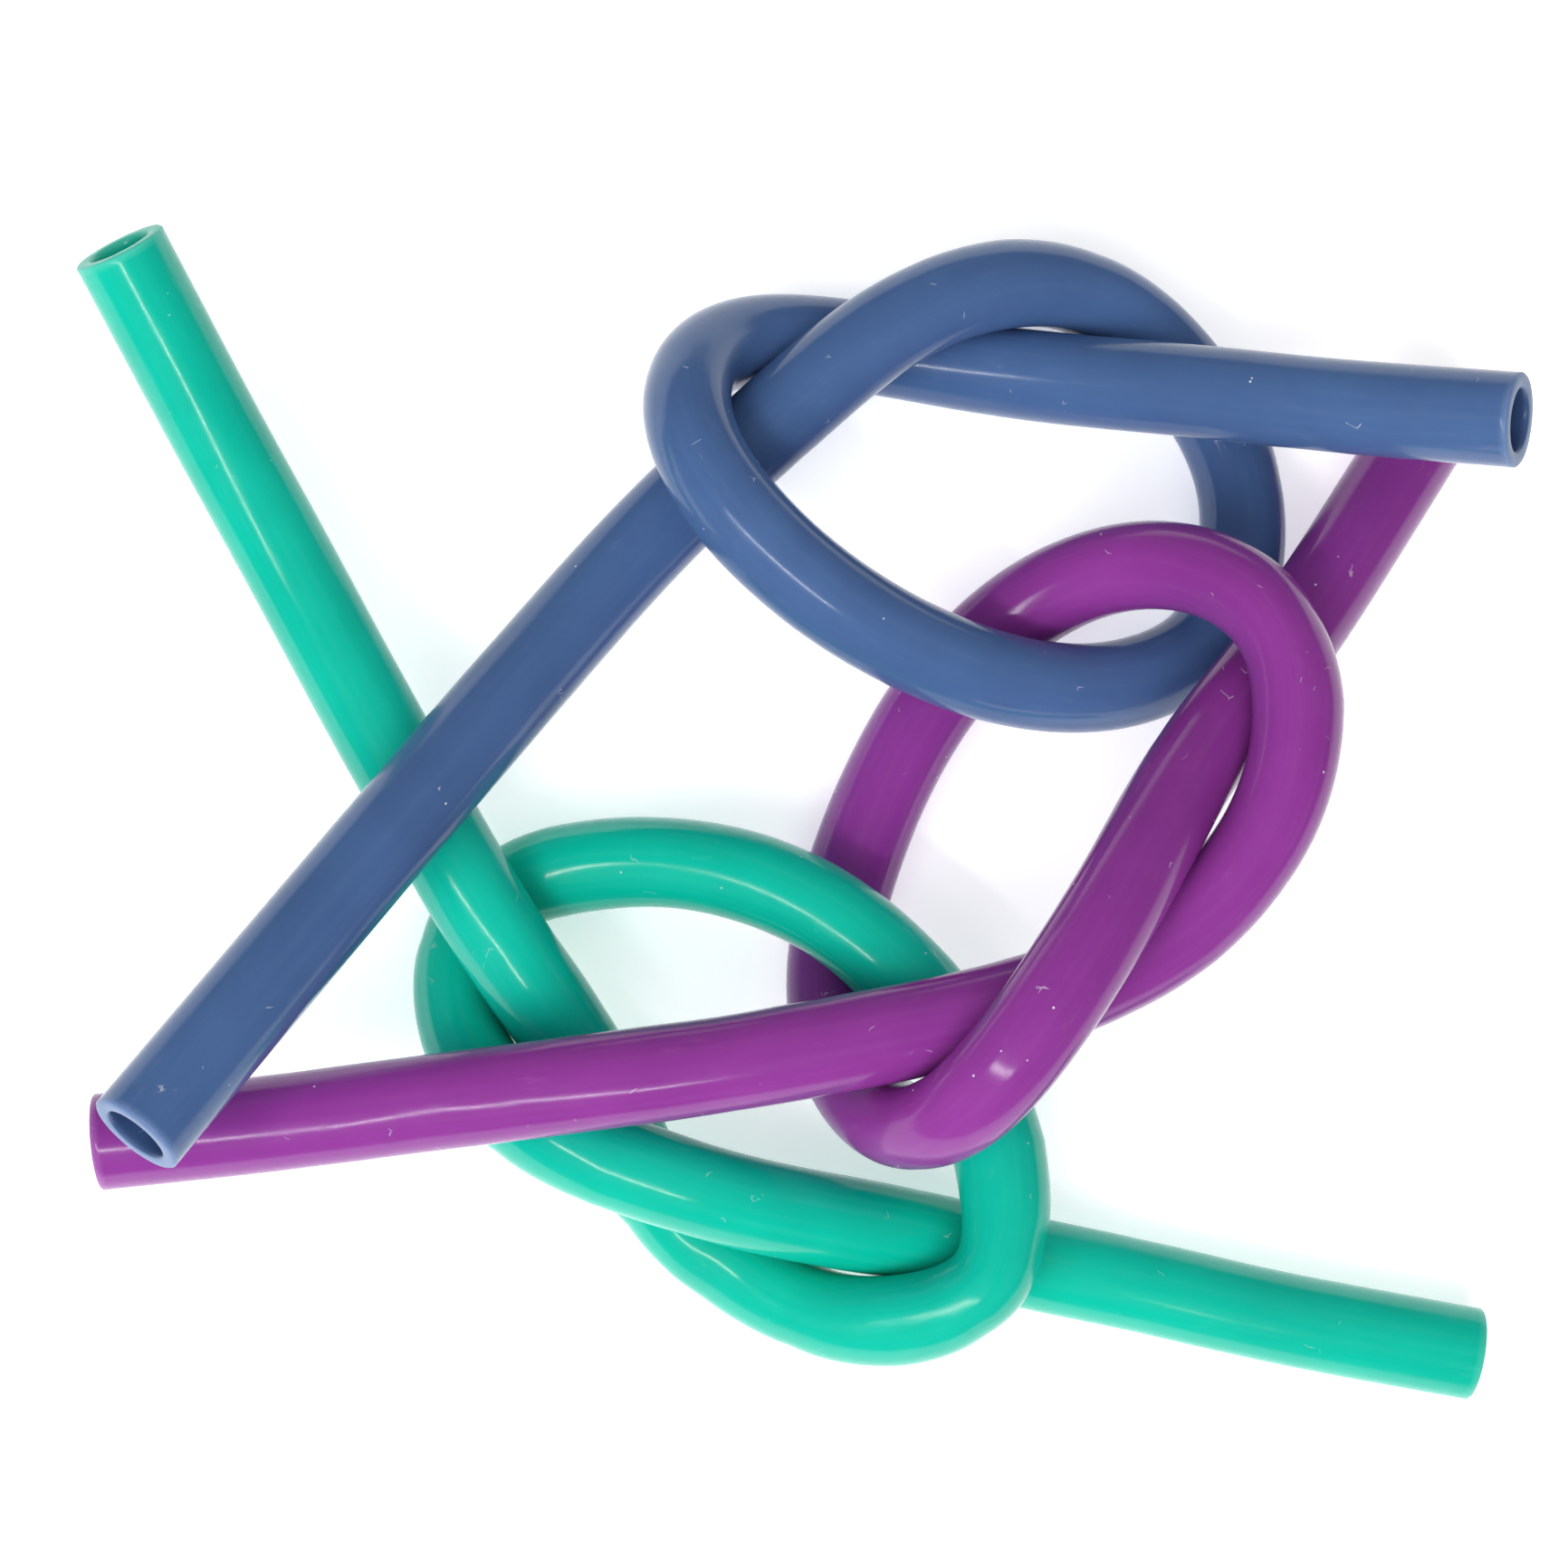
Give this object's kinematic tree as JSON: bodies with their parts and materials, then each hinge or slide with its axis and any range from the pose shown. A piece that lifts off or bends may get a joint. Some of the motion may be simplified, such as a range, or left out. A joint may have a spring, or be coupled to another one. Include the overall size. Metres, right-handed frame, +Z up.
{
  "type": "twisty snake puzzle",
  "caption": "Untangling puzzle of flexible hollow tubes, each tied in an overhand knot, with the middle knot linked through its neighbours.",
  "frame": {"origin": "middle of the whole outline, at the height of the table the puzzle lies on", "axes": "+X along the longest way across the puzzle, towards the end where the blue and purple tails cross; +Y towards the blue knot; +Z up"},
  "size_m": [0.1373, 0.1134, 0.0402],
  "materials": {
    "purple_silicone": "satin",
    "blue_silicone": "satin",
    "teal_silicone": "satin"
  },
  "bodies": {
    "purple": {"purple_tube": "purple_silicone"},
    "blue": {"blue_tube": "blue_silicone"},
    "teal": {"teal_tube": "teal_silicone"}
  },
  "joints": [
    {"name": "blue_lift", "type": "hinge", "parent": "purple", "child": "blue", "pos_m": [0.033, 0.015, 0.01], "axis": [0.8, 0.6, 0], "range_deg": [0, 60]},
    {"name": "teal_swivel", "type": "hinge", "parent": "purple", "child": "teal", "pos_m": [0.0035, -0.0165, 0], "axis": [0, 0, 1], "range_deg": [0, 16]}
  ]
}
